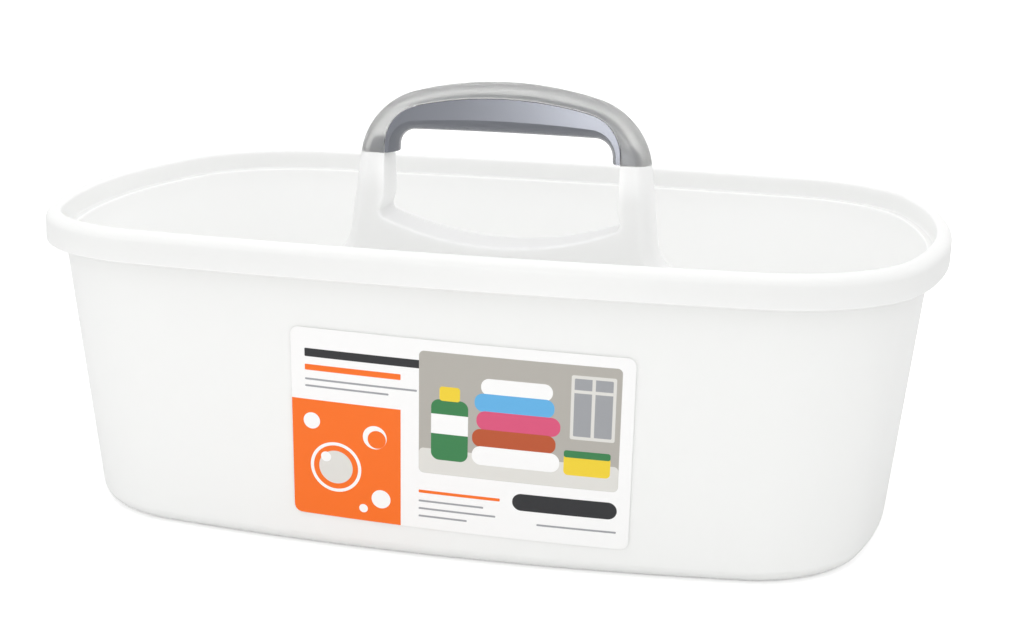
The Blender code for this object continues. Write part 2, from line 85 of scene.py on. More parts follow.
END_TAPER = 0.0134           # how far the wall's foot lies inside its top at each end
SIDE_TAPER = 0.0132          # the same at front and back
BASE_CORNER_RADIUS = 0.0645
BASE_SIDE_RADIUS = 1.05
BASE_END_RADIUS = 0.250
BASE_EDGE_RADIUS = 0.0075
FLOOR_FILLET = 0.0060
WALL = 0.0022
FLOOR = 0.0024
FOOT_WIDTH = 0.0060
FOOT_HEIGHT = 0.0008
WELD_DISTANCE = 1e-6

SEAT_Z = 0.1802              # top of the legs' inner walls, where the grip's ends sit
HANDLE_CROWN_RADIUS = 0.188
HANDLE_SHOULDER_RADIUS = 0.0410
HANDLE_HALF_SPAN = 0.0796
LEG_DRAFT = 0.118
HANDLE_HALF_DEPTH = 0.0110
FACE_DRAFT = 0.100
DIVIDER_FACE_DRAFT = 0.050
OUTER_DOME = 0.0073          # how far the outline draws in from its middle to each face
DIVIDER_TOP = 0.1215
DIVIDER_FALL = 0.010         # slope of its top, outwards from the legs
DIVIDER_END_GAP = 0.0161     # from the end wall, at the floor
DIVIDER_END_DRAFT = 0.090
DIVIDER_END_RADIUS = 0.012
FLARE_RADIUS = 0.018         # where the legs run into the divider
WEB_THICKNESS = 0.0024
WEB_STEP = 0.0080            # from the divider's top down to the web's

LIP_CROWN = 0.2121
LIP_CROWN_RADIUS = 0.200
LIP_CORNER_RADIUS = 0.0228
LIP_HALF_SPAN = 0.0645
OPENING_DRAFT = 0.040
SADDLE_BOTTOM = 0.1335
SADDLE_RADIUS = 0.173
SADDLE_CORNER_RADIUS = 0.005
LIP_EDGE_RADIUS = 0.0008
LEG_EDGE_RADIUS = 0.0016
CHANNEL_DOME = 0.0044        # dome of the hollow inside, like OUTER_DOME
CUTTER_REACH = 0.05          # depth at which cutters end, well clear of both faces
ARCH_CORNER_STEPS = 24
ARCH_CROWN_STEPS = 14


def arc(centre, radius, start, end, steps):
    """Points along an arc in a plane, both ends included; angles in degrees."""
    angles = [math.radians(start + (end - start) * i / steps) for i in range(steps + 1)]
    return [(centre[0] + radius * math.cos(a), centre[1] + radius * math.sin(a)) for a in angles]


def plan_outline(name, half_length, half_width, corner, side_radius, end_radius):
    """Guide ring of four shallow arcs and tangent corners; each point knows its way inwards."""
    side_centre = Vector((0, half_width - side_radius))
    end_centre = Vector((half_length - end_radius, 0))
    between = end_centre - side_centre
    side_reach, end_reach = side_radius - corner, end_radius - corner
    along = (side_reach ** 2 - end_reach ** 2 + between.length ** 2) / (2 * between.length)
    across = math.sqrt(side_reach ** 2 - along ** 2)
    u = between.normalized()
    corner_centre = side_centre + u * along + Vector((u.y, -u.x)) * across
    from_side, from_end = corner_centre - side_centre, corner_centre - end_centre
    side_angle = math.degrees(math.atan2(from_side.y, from_side.x))
    end_angle = math.degrees(math.atan2(from_end.y, from_end.x))
    quarter = []
    for centre, radius, start, end, steps in ((end_centre, end_radius, 0, end_angle, 8),
                                              (corner_centre, corner, end_angle, side_angle, 24),
                                              (side_centre, side_radius, side_angle, 90, 14)):
        for x, y in arc(centre, radius, start, end, steps)[0 if not quarter else 1:]:
            inwards = Vector((centre.x - x, centre.y - y, 0)).normalized()
            quarter.append((Vector((x, y, 0)), inwards))
    flip_x = Matrix.Diagonal((-1, 1, 1))
    flip_y = Matrix.Diagonal((1, -1, 1))
    half = quarter + [(flip_x @ p, flip_x @ n) for p, n in reversed(quarter[:-1])]
    ring = half + [(flip_y @ p, flip_y @ n) for p, n in reversed(half[1:-1])]
    mesh = bpy.data.meshes.new(name)
    mesh.from_pydata([p for p, n in ring], [], [])
    inward = mesh.attributes.new("inward", 'FLOAT_VECTOR', 'POINT')
    inward.data.foreach_set("vector", [c for p, n in ring for c in n])
    return bpy.data.objects.new(name, mesh)


def wall_profile():
    """Inset from the skirt and height of each turn of the moulded wall, outside first."""
    roof_z = TUB_HEIGHT - WALL
    collar_in, wall_in = COLLAR_OVERHANG + WALL, SKIRT_OVERHANG + WALL
    foot_in = SKIRT_OVERHANG + BASE_EDGE_RADIUS
    floor_z = FOOT_HEIGHT + FLOOR
    roll, fillet = (RIM_TOP_RADIUS, TUB_HEIGHT - RIM_TOP_RADIUS), wall_in + FLOOR_FILLET
    points = [(foot_in + FOOT_WIDTH, FOOT_HEIGHT), (foot_in + FOOT_WIDTH - FOOT_HEIGHT, 0)]
    points += arc((foot_in, BASE_EDGE_RADIUS), BASE_EDGE_RADIUS, 270, 180, 8)
    points += [(SKIRT_OVERHANG, SKIRT_EDGE_Z), (SKIRT_OVERHANG, COLLAR_Z - WALL)]
    points += [(COLLAR_OVERHANG, COLLAR_Z), (COLLAR_OVERHANG, roof_z - SHOULDER_RADIUS)]
    points += arc(roll, RIM_TOP_RADIUS - WALL, 90, 180, 4)
    points += arc((WALL / 2, SKIRT_EDGE_Z + WALL / 2), WALL / 2, 360, 180, 8)
    points += arc(roll, RIM_TOP_RADIUS, 180, 90, 10)
    points += arc((collar_in - RIM_INNER_RADIUS, TUB_HEIGHT - RIM_INNER_RADIUS),
                  RIM_INNER_RADIUS, 90, 0, 6)
    points += arc((collar_in + SHOULDER_RADIUS, COLLAR_Z + SHOULDER_RADIUS),
                  SHOULDER_RADIUS, 180, 270, 4)
    points += arc((wall_in - SHOULDER_RADIUS, COLLAR_Z - SHOULDER_RADIUS),
                  SHOULDER_RADIUS, 90, 0, 4)
    points += [(wall_in, SKIRT_EDGE_Z)]
    points += arc((fillet, floor_z + FLOOR_FILLET), FLOOR_FILLET, 180, 270, 8)
    mesh = bpy.data.meshes.new("wall_profile")
    mesh.from_pydata([(x, 0, z) for x, z in points], [], [])
    return bpy.data.objects.new("wall_profile", mesh)


def add_node(tree, kind, values=(), **settings):
    """Adds a node, sets its options, and fills its sockets from (socket, value or output)."""
    node = tree.nodes.new(kind)
    for name, value in settings.items():
        setattr(node, name, value)
    for socket, value in values:
        if isinstance(value, bpy.types.NodeSocket):
            tree.links.new(value, node.inputs[socket])
        else:
            node.inputs[socket].default_value = value
    return node


def cup_tree():
    """Runs the profile round the plan, which grows from the base outline to the rim's."""
    tree = bpy.data.node_groups.new("moulded_cup", 'GeometryNodeTree')
    for name, kind in (("Profile", 'NodeSocketObject'), ("Rim outline", 'NodeSocketObject'),
                       ("Base outline", 'NodeSocketObject'), ("Skirt height", 'NodeSocketFloat'),
                       ("Material", 'NodeSocketMaterial')):
        tree.interface.new_socket(name, in_out='INPUT', socket_type=kind)
    tree.interface.new_socket("Geometry", in_out='OUTPUT', socket_type='NodeSocketGeometry')
    given = add_node(tree, 'NodeGroupInput').outputs

    def guide(name):
        return add_node(tree, 'GeometryNodeObjectInfo', [(0, given[name])]).outputs["Geometry"]

    def point_count(geometry):
        size = add_node(tree, 'GeometryNodeAttributeDomainSize', [(0, geometry)])
        return size.outputs["Point Count"]

    def whole(operation, a, b):
        return add_node(tree, 'FunctionNodeIntegerMath', [(0, a), (1, b)],
                        operation=operation).outputs[0]

    def sampled(geometry, value, index):
        return add_node(tree, 'GeometryNodeSampleIndex',
                        [("Geometry", geometry), ("Value", value), ("Index", index)],
                        data_type='FLOAT_VECTOR').outputs[0]

    profile, rim, base = guide("Profile"), guide("Rim outline"), guide("Base outline")
    around = point_count(rim)
    columns = whole('ADD', around, 1)
    grid = add_node(tree, 'GeometryNodeMeshGrid',
                    [("Vertices X", point_count(profile)), ("Vertices Y", columns)])
    index = add_node(tree, 'GeometryNodeInputIndex').outputs[0]
    turn = whole('DIVIDE_FLOOR', index, columns)
    place = whole('MODULO', whole('MODULO', index, columns), around)
    position = add_node(tree, 'GeometryNodeInputPosition').outputs[0]
    inward = add_node(tree, 'GeometryNodeInputNamedAttribute', [("Name", "inward")],
                      data_type='FLOAT_VECTOR').outputs[0]
    turn_at = add_node(tree, 'ShaderNodeSeparateXYZ', [(0, sampled(profile, position, turn))])
    inset, height = turn_at.outputs["X"], turn_at.outputs["Z"]
    moved = [add_node(tree, 'ShaderNodeVectorMath',
                      [(0, sampled(ring, inward, place)), (1, inset),
                       (2, sampled(ring, position, place))],
                      operation='MULTIPLY_ADD').outputs[0] for ring in (base, rim)]
    share = add_node(tree, 'ShaderNodeMath', [(0, height), (1, given["Skirt height"])],
                     operation='DIVIDE', use_clamp=True).outputs[0]
    plan = add_node(tree, 'ShaderNodeMix', [("Factor", share)], data_type='VECTOR')
    tree.links.new(moved[0], plan.inputs[4])
    tree.links.new(moved[1], plan.inputs[5])
    flat = add_node(tree, 'ShaderNodeSeparateXYZ', [(0, plan.outputs[1])]).outputs
    there = add_node(tree, 'ShaderNodeCombineXYZ', [(0, flat["X"]), (1, flat["Y"]), (2, height)])
    placed = add_node(tree, 'GeometryNodeSetPosition',
                      [("Geometry", grid.outputs["Mesh"]), ("Position", there.outputs[0])])
    closed = add_node(tree, 'GeometryNodeMergeByDistance',
                      [("Geometry", placed.outputs[0]), ("Distance", WELD_DISTANCE)])
    real = add_node(tree, 'GeometryNodeRealizeInstances', [(0, closed.outputs[0])])
    coated = add_node(tree, 'GeometryNodeSetMaterial',
                      [("Geometry", real.outputs[0]), ("Material", given["Material"])])
    add_node(tree, 'NodeGroupOutput', [(0, coated.outputs[0])])
    return tree


def add_geometry_nodes(obj, tree, inputs):
    modifier = obj.modifiers.new(tree.name, 'NODES')
    modifier.node_group = tree
    for item in tree.interface.items_tree:
        if item.in_out == 'INPUT' and item.name in inputs:
            modifier[item.identifier] = inputs[item.name]


def make_final(obj):
    """Turns what the modifiers make of an object into its plain mesh."""
    bpy.context.view_layer.update()
    depsgraph = bpy.context.evaluated_depsgraph_get()
    made = bpy.data.meshes.new_from_object(obj.evaluated_get(depsgraph))
    obj.modifiers.clear()
    obj.data = made
    made.name = obj.name


def weigh_normals(obj):
    """Lets the large flat faces rule the shading beside the small roundings."""
    modifier = obj.modifiers.new("weighted_normals", 'WEIGHTED_NORMAL')
    modifier.keep_sharp = True
    make_final(obj)


def show(obj):
    bpy.context.scene.collection.objects.link(obj)
    return obj


def new_piece(name, build):
    """Object whose mesh is made by a function that fills a bmesh; faces end up facing outwards."""
    bm = bmesh.new()
    build(bm)
    bmesh.ops.recalc_face_normals(bm, faces=bm.faces)
    mesh = bpy.data.meshes.new(name)
    bm.to_mesh(mesh)
    bm.free()
    return show(bpy.data.objects.new(name, mesh))


def arch_half(half_span, draft, crown, crown_radius, corner_radius, start_z, inset=0.0, up=1):
    """Right half of an arch in the XZ plane, from its leg at start_z to its crown at x = 0.

    half_span is measured at the seat. With up = -1 the arch hangs below its legs. The corner's
    centre is where its circle touches both the leg and the crown's arc.
    """
    lean = draft * up
    slope = math.hypot(1, lean)
    crown_r, corner_r = crown_radius - inset, corner_radius - inset
    low = crown * up - inset - crown_r
    base = half_span - inset * slope + lean * SEAT_Z * up - corner_r * slope
    a, b = slope ** 2, base * lean + low
    c = base ** 2 + low ** 2 - (crown_r - corner_r) ** 2
    centre_z = (b + math.sqrt(b * b - a * c)) / a
    centre_x = base - lean * centre_z
    leg_angle = math.degrees(math.atan(lean))
    crown_angle = math.degrees(math.atan2(centre_z - low, centre_x))
    rise = start_z * up - centre_z
    if rise < corner_r * math.sin(math.radians(leg_angle)):
        start = (half_span - inset * slope + lean * (SEAT_Z - start_z), start_z * up)
        turn_from = leg_angle
    else:
        start_angle = math.degrees(math.asin(rise / corner_r))
        start = (centre_x + corner_r * math.cos(math.radians(start_angle)), start_z * up)
        turn_from = start_angle + (crown_angle - start_angle) / (ARCH_CORNER_STEPS + 1)
    corner = arc((centre_x, centre_z), corner_r, turn_from, crown_angle, ARCH_CORNER_STEPS)
    top = arc((0, low), crown_r, crown_angle, 90, ARCH_CROWN_STEPS)
    return [(x, z * up) for x, z in [start] + corner + top[1:-1] + [(0.0, low + crown_r)]]


def lip_arch(start_z, inset=0.0):
    return arch_half(LIP_HALF_SPAN, OPENING_DRAFT, LIP_CROWN, LIP_CROWN_RADIUS,
                     LIP_CORNER_RADIUS, start_z, inset)


def saddle_arch(start_z, inset=0.0):
    return arch_half(LIP_HALF_SPAN, OPENING_DRAFT, SADDLE_BOTTOM, SADDLE_RADIUS,
                     SADDLE_CORNER_RADIUS, start_z, inset, up=-1)


def handle_arch(start_z, inset):
    return arch_half(HANDLE_HALF_SPAN, LEG_DRAFT, HANDLE_CROWN, HANDLE_CROWN_RADIUS,
                     HANDLE_SHOULDER_RADIUS, start_z, inset)


def end_wall_x(z):
    """Where the end wall's outer face stands at height z."""
    return RIM_LENGTH / 2 - SKIRT_OVERHANG - END_TAPER * (1 - z / SKIRT_EDGE_Z)


def divider_end_x(z):
    return end_wall_x(0) - DIVIDER_END_GAP - DIVIDER_END_DRAFT * z


def half_depth(z):
    """Half the depth of divider and handle along Y at height z."""
    leg = FACE_DRAFT * max(SEAT_Z - max(z, DIVIDER_TOP), 0.0)
    return HANDLE_HALF_DEPTH + leg + DIVIDER_FACE_DRAFT * max(DIVIDER_TOP - z, 0.0)


def corner_turn(before, corner, after, radius, inset, steps):
    """Rounds a corner of an XZ path walked with the material on its left, moved in by inset."""
    d1 = (Vector(corner) - Vector(before)).normalized()
    d2 = (Vector(after) - Vector(corner)).normalized()
    n1, n2 = Vector((-d1.y, d1.x)), Vector((-d2.y, d2.x))
    side = 1 if d1.x * d2.y - d1.y * d2.x > 0 else -1
    reach = inset + side * (radius - side * inset)
    centre = Vector(corner) + (n1 + n2) * reach / (1 + n1.dot(n2))
    start = math.degrees(math.atan2(-side * n1.y, -side * n1.x))
    end = math.degrees(math.atan2(-side * n2.y, -side * n2.x))
    end += 360 if side > 0 and end < start else -360 if side < 0 and end > start else 0
    return arc(centre, radius - side * inset, start, end, steps)


def centre_outline(bottom_z, inset):
    """Right half of the front view of divider, leg and handle, from the base up to the crown."""
    def leg_x(z):
        return HANDLE_HALF_SPAN + LEG_DRAFT * (SEAT_Z - z)

    end_x = divider_end_x(DIVIDER_TOP)
    leg_foot = (leg_x(DIVIDER_TOP), DIVIDER_TOP)
    end_corner = (end_x, DIVIDER_TOP - DIVIDER_FALL * (end_x - leg_x(DIVIDER_TOP)))
    foot = (divider_end_x(bottom_z), bottom_z)
    start = (foot[0] - inset * math.hypot(1, DIVIDER_END_DRAFT), bottom_z)
    end_turn = corner_turn(foot, end_corner, leg_foot, DIVIDER_END_RADIUS, inset, 10)
    flare = corner_turn(end_corner, leg_foot, (HANDLE_HALF_SPAN, SEAT_Z), FLARE_RADIUS, inset, 12)
    leg_z = SEAT_Z - (SEAT_Z - DIVIDER_TOP) / 3
    leg = (leg_x(leg_z) - inset * math.hypot(1, LEG_DRAFT), leg_z)
    return [start] + end_turn + flare + [leg] + handle_arch(SEAT_Z, inset)


def loft(bm, rings):
    """Joins closed rings of equal length by quads and returns their vertices."""
    rows = [[bm.verts.new(point) for point in ring] for ring in rings]
    for low, high in zip(rows, rows[1:]):
        for i in range(len(low)):
            j = (i + 1) % len(low)
            bm.faces.new((low[i], low[j], high[j], high[i]))
    return rows


def capped_loft(bm, rings):
    rows = loft(bm, rings)
    bm.faces.new(reversed(rows[0]))
    bm.faces.new(rows[-1])


def centre_form(bm, bottom_z, wall, dome, steps=12):
    """Divider, legs and handle as one domed form; wall moves every face inwards."""
    rings = []
    for step in range(2 * steps + 1):
        angle = math.pi * step / (2 * steps)
        right = centre_outline(bottom_z, wall + dome * (1 - math.sin(angle)))
        outline = right + [(-x, z) for x, z in reversed(right[:-1])]
        rings.append([(x, -math.cos(angle) * (half_depth(z) - wall), z) for x, z in outline])
    rows = loft(bm, rings)
    for row in (rows[0], rows[-1]):
        for i in range(len(row) // 2):
            strip = [row[i], row[i + 1], row[-2 - i], row[-1 - i]]
            bm.faces.new(strip if strip[1] is not strip[2] else [strip[0], strip[1], strip[3]])


def upright_plate(bm, outline, half_thickness):
    capped_loft(bm, [[(x, y, z) for x, z in outline] for y in (-half_thickness, half_thickness)])


def leg_walls(bm):
    """Block that keeps the legs' inner walls and the saddle's floor when the form is hollowed."""
    right = list(reversed(saddle_arch(SEAT_Z, -WALL)))
    upright_plate(bm, right + [(-x, z) for x, z in reversed(right[1:])], CUTTER_REACH)


def web(bm, side):
    """Thin upright web from the hollow divider's end to the end wall."""
    bottom_z = FOOT_HEIGHT + FLOOR / 2
    edge_z, top_z = bottom_z + BASE_EDGE_RADIUS, DIVIDER_TOP - WEB_STEP
    outline = [(divider_end_x(bottom_z) - WALL / 2, bottom_z),
               (end_wall_x(bottom_z) - BASE_EDGE_RADIUS, bottom_z),
               (end_wall_x(edge_z) - WALL / 2, edge_z),
               (end_wall_x(top_z) - WALL / 2, top_z),
               (divider_end_x(top_z) - WALL / 2, top_z)]
    upright_plate(bm, [(side * x, z) for x, z in outline], WEB_THICKNESS / 2)


def edge_radius(z):
    """Rounding of the finger opening's edges: small on the shell's lip, larger below it."""
    share = min(max((SEAT_Z - z) / LIP_CORNER_RADIUS, 0.0), 1.0)
    return LIP_EDGE_RADIUS + (LEG_EDGE_RADIUS - LIP_EDGE_RADIUS) * share


def opening_outline(growth):
    """Front view of the finger opening; growth from 0 to 1 adds its edges' rounding."""
    def grown(arch):
        middle_z = (SEAT_Z + SADDLE_BOTTOM) / 2
        for (x, z), (wide_x, wide_z) in zip(arch(middle_z), arch(middle_z, -LEG_EDGE_RADIUS)):
            share = growth * edge_radius(z) / LEG_EDGE_RADIUS
            yield x + (wide_x - x) * share, z + (wide_z - z) * share

    right = list(reversed(list(grown(saddle_arch)))) + list(grown(lip_arch))[1:]
    return right + [(-x, z) for x, z in reversed(right[1:-1])]


def finger_opening(bm, steps=5):
    """Cutter that flares at both faces, so that the opening's edges come out rounded."""
    rings = [[(x, -CUTTER_REACH, z) for x, z in opening_outline(1.0)]]
    for step in range(steps + 1):
        angle = math.pi / 2 * step / steps
        rings.append([(x, -half_depth(z) + edge_radius(z) * (1 - math.cos(angle)), z)
                      for x, z in opening_outline(1 - math.sin(angle))])
    rings += [[(x, -y, z) for x, y, z in ring] for ring in reversed(rings)]
    capped_loft(bm, rings)


def cut(obj, tool, operation):
    modifier = obj.modifiers.new(tool.name, 'BOOLEAN')
    modifier.object = tool
    modifier.operation = operation
    modifier.solver = 'EXACT'


def moulded_skin():
    """Node group: the fine eroded grain and faint flow marks that a moulded plastic carries."""
    group = bpy.data.node_groups.new("moulded_skin", 'ShaderNodeTree')
    for name, value in (("Grain scale", 900.0), ("Flow scale", 9.0)):
        group.interface.new_socket(name, in_out='INPUT',
                                   socket_type='NodeSocketFloat').default_value = value
    for name in ("Grain", "Flow"):
        group.interface.new_socket(name, in_out='OUTPUT', socket_type='NodeSocketFloat')
    given = add_node(group, 'NodeGroupInput').outputs
    place = add_node(group, 'ShaderNodeTexCoord').outputs["Object"]
    grain = add_node(group, 'ShaderNodeTexNoise',
                     [("Vector", place), ("Scale", given["Grain scale"]), ("Detail", 3.0)])
    drawn = add_node(group, 'ShaderNodeMapping', [("Vector", place), ("Scale", (1.0, 1.0, 0.35))])
    flow = add_node(group, 'ShaderNodeTexNoise',
                    [("Vector", drawn.outputs[0]), ("Scale", given["Flow scale"]),
                     ("Detail", 2.0), ("Distortion", 0.6)])
    add_node(group, 'NodeGroupOutput', [("Grain", grain.outputs[0]), ("Flow", flow.outputs[0])])
    return group


def span(tree, value, low, high):
    """A 0 to 1 mask turned into values between low and high."""
    return add_node(tree, 'ShaderNodeMapRange',
                    [("Value", value), ("To Min", low), ("To Max", high)]).outputs[0]


def blended(tree, factor, low, high):
    """Two colours, or an output and a colour, mixed by a mask."""
    mix = add_node(tree, 'ShaderNodeMix', [("Factor", factor)], data_type='RGBA')
    for socket, colour in ((6, low), (7, high)):
        if isinstance(colour, bpy.types.NodeSocket):
            tree.links.new(colour, mix.inputs[socket])
        else:
            mix.inputs[socket].default_value = (*colour, 1.0)
    return mix.outputs[2]


ROUGHNESS_DRIFT = 0.03


def plastic(name, pale, deep, roughness, grain, bump):
    """Moulded plastic whose colour drifts between two shades along the melt's flow."""
    material = bpy.data.materials.new(name)
    material.use_nodes = True
    tree = material.node_tree
    shader = tree.nodes["Principled BSDF"]
    skin = add_node(tree, 'ShaderNodeGroup', node_tree=skin_group)
    skin.inputs["Grain scale"].default_value = grain
    tree.links.new(blended(tree, skin.outputs["Flow"], pale, deep), shader.inputs["Base Color"])
    tree.links.new(span(tree, skin.outputs["Grain"], roughness - ROUGHNESS_DRIFT,
                        roughness + ROUGHNESS_DRIFT), shader.inputs["Roughness"])
    relief = add_node(tree, 'ShaderNodeBump', [("Height", skin.outputs["Grain"]),
                                               ("Strength", 1.0), ("Distance", bump)])
    tree.links.new(relief.outputs[0], shader.inputs["Normal"])
    return material, shader


def frosted_plastic(name, pale, deep, clearness):
    """Natural polypropylene: clearness of the light passes blurred, the wall scatters the rest."""
    material, shader = plastic(name, pale, deep, roughness=0.34, grain=700.0, bump=0.00002)
    shader.inputs["IOR"].default_value = 1.49
    shader.inputs["Transmission Weight"].default_value = clearness
    shader.inputs["Subsurface Weight"].default_value = 1.0
    shader.inputs["Subsurface Radius"].default_value = (1.0, 1.0, 1.0)
    shader.inputs["Subsurface Scale"].default_value = 0.003
    return material


skin_group = moulded_skin()
frosted = frosted_plastic("frosted_polypropylene", (0.868, 0.871, 0.863),
                          (0.855, 0.859, 0.849), clearness=0.0)
# Same plastic painted paler: painted light for the faces that get less of it
frosted_painted_lighter = frosted_plastic("frosted_polypropylene_inside", (0.960, 0.963, 0.954),
                                 (0.947, 0.951, 0.940), clearness=0.0)
shell_over_grip = frosted_plastic("polypropylene_over_grip", (0.982, 0.985, 0.976),
                                  (0.970, 0.974, 0.963), clearness=0.90)

rim_guide = show(plan_outline("rim_outline", RIM_LENGTH / 2, RIM_WIDTH / 2, RIM_CORNER_RADIUS,
                              RIM_SIDE_RADIUS, RIM_END_RADIUS))
base_guide = show(plan_outline("base_outline", RIM_LENGTH / 2 - END_TAPER,
                               RIM_WIDTH / 2 - SIDE_TAPER, BASE_CORNER_RADIUS + SKIRT_OVERHANG,
                               BASE_SIDE_RADIUS + SKIRT_OVERHANG,
                               BASE_END_RADIUS + SKIRT_OVERHANG))
profile_guide = show(wall_profile())
tub = show(bpy.data.objects.new("frosted_tub", bpy.data.meshes.new("frosted_tub")))
add_geometry_nodes(tub, cup_tree(), {"Profile": profile_guide, "Rim outline": rim_guide,
                                     "Base outline": base_guide, "Skirt height": SKIRT_EDGE_Z,
                                     "Material": frosted})
make_final(tub)
bm = bmesh.new()
bm.from_mesh(tub.data)
bmesh.ops.holes_fill(bm, edges=[e for e in bm.edges if e.is_boundary])
bmesh.ops.recalc_face_normals(bm, faces=bm.faces)
bm.to_mesh(tub.data)
bm.free()

middle_of_floor = FOOT_HEIGHT + FLOOR / 2
centre = new_piece("centre_form", lambda bm: centre_form(bm, middle_of_floor, 0.0, OUTER_DOME))
hollow = new_piece("hollow", lambda bm: centre_form(bm, -FLOOR, WALL, CHANNEL_DOME))
kept = new_piece("leg_walls", leg_walls)
webs = [new_piece(f"web_{side}", lambda bm: web(bm, side)) for side in (-1, 1)]
opening = new_piece("finger_opening", finger_opening)
cut(hollow, kept, 'DIFFERENCE')
for tool, operation in [(centre, 'UNION'), (webs[0], 'UNION'), (webs[1], 'UNION'),
                        (hollow, 'DIFFERENCE'), (opening, 'DIFFERENCE')]:
    cut(tub, tool, operation)
tub.data.shade_smooth()
tub.data.materials.clear()
tub.data.materials.append(frosted)
make_final(tub)
for tool in [rim_guide, base_guide, profile_guide, centre, hollow, kept, *webs, opening]:
    bpy.data.objects.remove(tool, do_unlink=True)

# Faces that look into the tub, its floor, the divider and the skirt's edge get less light, and
# a paler copy of the plastic there is painted light. The shell over the grip is clear.
tub.data.materials.append(shell_over_grip)
tub.data.materials.append(frosted_painted_lighter)
OUTSIDE, OVER_GRIP, PAINTED_LIGHTER = range(3)
LOOKS_INWARDS = -0.3         # outward turn below which a face looks into the tub
LOOKS_UP = 0.5               # upward turn above which a low face is part of the floor
for face in tub.data.polygons:
    x, y, z = face.center
    turned_out = (face.normal.x * x + face.normal.y * y) / math.hypot(x, y)
    on_divider = (z > FOOT_HEIGHT + FLOOR and abs(x) < divider_end_x(z) + WALL
                  and abs(y) < half_depth(z) + WALL)
    on_floor = face.normal.z > LOOKS_UP and z < FOOT_HEIGHT + FLOOR + FLOOR_FILLET
    on_skirt_edge = SKIRT_EDGE_Z < z < SKIRT_EDGE_Z + WALL / 2
    pale = turned_out < LOOKS_INWARDS or on_divider or on_floor or on_skirt_edge
    face.material_index = OVER_GRIP if z > SEAT_Z else PAINTED_LIGHTER if pale else OUTSIDE
tub.data.shade_smooth()
tub.data.set_sharp_from_angle(angle=math.radians(32))
weigh_normals(tub)
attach(tub, "root")
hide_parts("tub")


# ---- Hand grip -----------------------------------------------------------------------------
# Grey polypropylene moulding pressed up into the handle from below: its core plugs the legs and
# runs slim along the arch, and its pad has a sharp crease under each face. Its section changes
# along the handle, so it is lofted between the arches that its corners follow.
FIT_GAP = 0.0003
GRIP_RECESS = 0.0002         # from the shell's faces back to the pad's
CORE_FOOT = 0.0060           # height of the core's feet, and of the taper above them
FOOT_GAP = 0.0022            # from the shell down to the core at its feet
BACK_GAP = 0.0075            # the same along the arch
BACK_DOME = 0.0010
BACK_STEP = 0.0070           # how far the core's faces stand back along the arch
TROUGH = 0.0050              # from the lip down to the hollow beside the core, at the crown
CREASE_CROWN = 0.2003
CREASE_CROWN_RADIUS = 0.600
CREASE_CORNER_RADIUS = 0.0148
CREASE_HALF_SPAN = 0.0620
UNDERSIDE_CROWN = 0.1931
UNDERSIDE_CROWN_RADIUS = 3.0
UNDERSIDE_CORNER_RADIUS = 0.0095
UNDERSIDE_HALF_SPAN = 0.0588
CORE_STEPS = 8
PAD_STEPS = 10


def core_rise(z):
    """Grows from 0 at the core's feet, which fill the channel, to 1 along its slim back."""
    rise = min(max((z - SEAT_Z - CORE_FOOT) / CORE_FOOT, 0.0), 1.0)
    return rise * rise * (3 - 2 * rise)


def core_rail(around):
    """Line along the core; around turns from 0 on its front face to 1 on its top."""
    angle = math.pi / 2 * around
    foot = handle_arch(SEAT_Z + FIT_GAP, WALL + FOOT_GAP + CHANNEL_DOME * (1 - math.sin(angle)))
    back = handle_arch(SEAT_Z + FIT_GAP, WALL + BACK_GAP + BACK_DOME * (1 - math.sin(angle)))
    rail = []
    for (foot_x, foot_z), (back_x, back_z) in zip(foot, back):
        rise = core_rise(foot_z)
        depth = HANDLE_HALF_DEPTH - WALL - FIT_GAP - BACK_STEP * rise
        rail.append((foot_x + (back_x - foot_x) * rise, -depth * math.cos(angle),
                     foot_z + (back_z - foot_z) * rise))
    return rail


def grip_rails():
    """Lines along the grip, one for each corner of its section.

    They go from the core's top round the front to the middle of the underside.
    """
    start_z = SEAT_Z + FIT_GAP
    face = HANDLE_HALF_DEPTH - GRIP_RECESS
    rails = [core_rail(1 - step / CORE_STEPS) for step in range(CORE_STEPS + 1)]
    shelf = lip_arch(start_z, FIT_GAP)
    crease = arch_half(CREASE_HALF_SPAN, OPENING_DRAFT, CREASE_CROWN, CREASE_CROWN_RADIUS,
                       CREASE_CORNER_RADIUS, start_z)
    underside = arch_half(UNDERSIDE_HALF_SPAN, OPENING_DRAFT, UNDERSIDE_CROWN,
                          UNDERSIDE_CROWN_RADIUS, UNDERSIDE_CORNER_RADIUS, start_z)
    trough = []
    for (x, z), (low_x, low_z), (_, y, _) in zip(shelf, lip_arch(start_z, TROUGH), rails[-1]):
        sunk = ((z - SEAT_Z) / (LIP_CROWN - SEAT_Z)) ** 2
        trough.append((x + (low_x - x) * sunk, y, z + (low_z - z) * sunk))
    rails.append(trough)
    rails += [[(x, -face, z) for x, z in arch] for arch in (shelf, crease)]
    for step in range(1, PAD_STEPS + 1):
        u = 1 - step / PAD_STEPS
        rails.append([(p[0] + (q[0] - p[0]) * u * u, -face * u, p[1] + (q[1] - p[1]) * u * u)
                      for p, q in zip(underside, crease)])
    return rails


def grip_form(bm):
    rails = grip_rails()
    around = rails + [[(x, -y, z) for x, y, z in rail] for rail in reversed(rails[1:-1])]
    count = len(rails[0])
    stations = [(i, 1) for i in range(count)] + [(i, -1) for i in reversed(range(count - 1))]
    capped_loft(bm, [[(side * rail[i][0], rail[i][1], rail[i][2]) for rail in around]
                     for i, side in stations])


